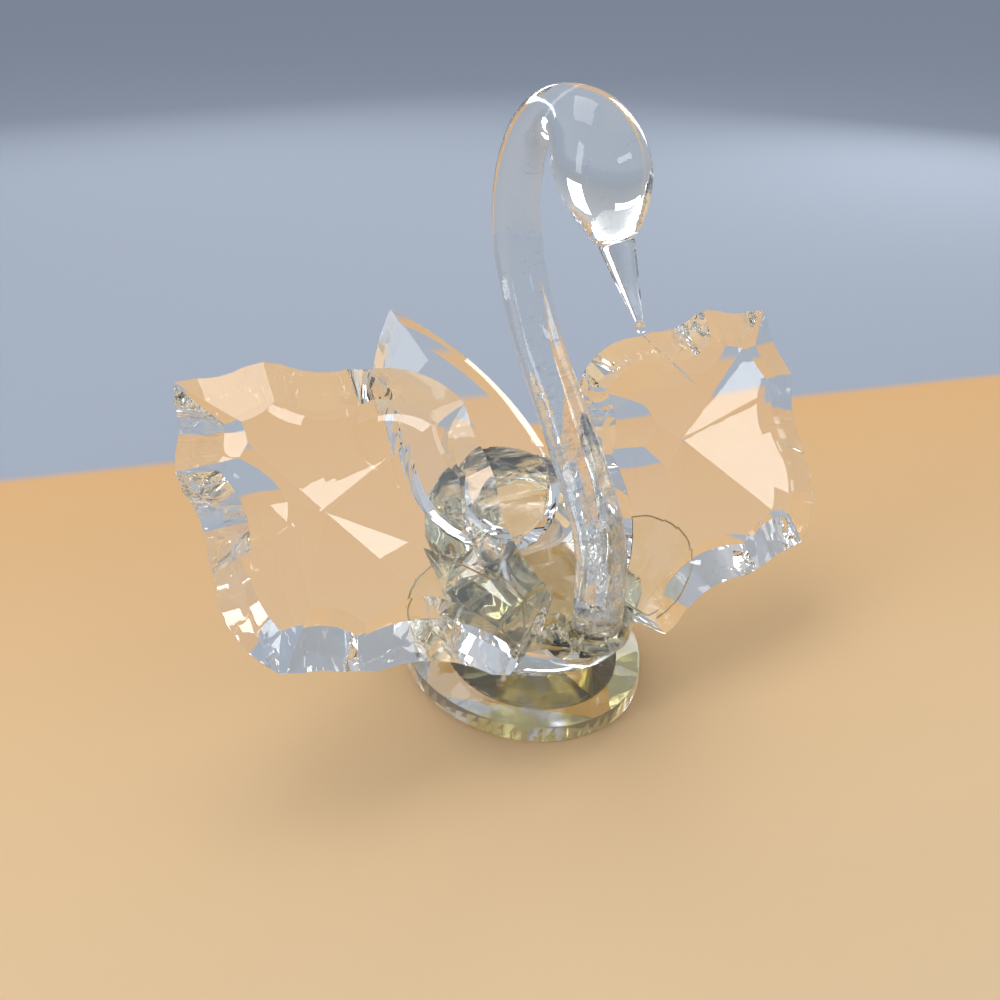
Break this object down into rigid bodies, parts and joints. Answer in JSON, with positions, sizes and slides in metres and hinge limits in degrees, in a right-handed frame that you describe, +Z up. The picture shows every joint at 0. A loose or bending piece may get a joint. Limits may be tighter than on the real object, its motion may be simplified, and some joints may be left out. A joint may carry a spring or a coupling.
{
  "type": "swan figurine",
  "caption": "Free-standing cut-glass swan: oval foot, boat-shaped body block, fluted leaf prisms as wings, almond prism as tail, drawn glass neck with egg-shaped head and pointed beak.",
  "frame": {"origin": "centre of the oval foot's underside, on the surface that the figurine stands on", "axes": "+X is the swan's left, -Y is forward, where the swan faces, +Z is up"},
  "size_m": [0.1717, 0.1132, 0.1505],
  "materials": {
    "cut_crystal": "clear polished cut crystal",
    "lampworked_glass": "clear fire-polished glass with fine seed bubbles",
    "yellowed_adhesive": "clear adhesive, aged to olive yellow"
  },
  "bodies": {
    "root": {"foot_plate": "cut_crystal", "foot_adhesive": "yellowed_adhesive", "body_block": "cut_crystal", "right_wing": "cut_crystal", "left_wing": "cut_crystal", "right_wing_adhesive": "yellowed_adhesive", "left_wing_adhesive": "yellowed_adhesive", "tail_leaf": "cut_crystal", "tail_leaf_adhesive": "yellowed_adhesive", "neck_and_head": "lampworked_glass", "neck_adhesive": "yellowed_adhesive"}
  },
  "joints": []
}
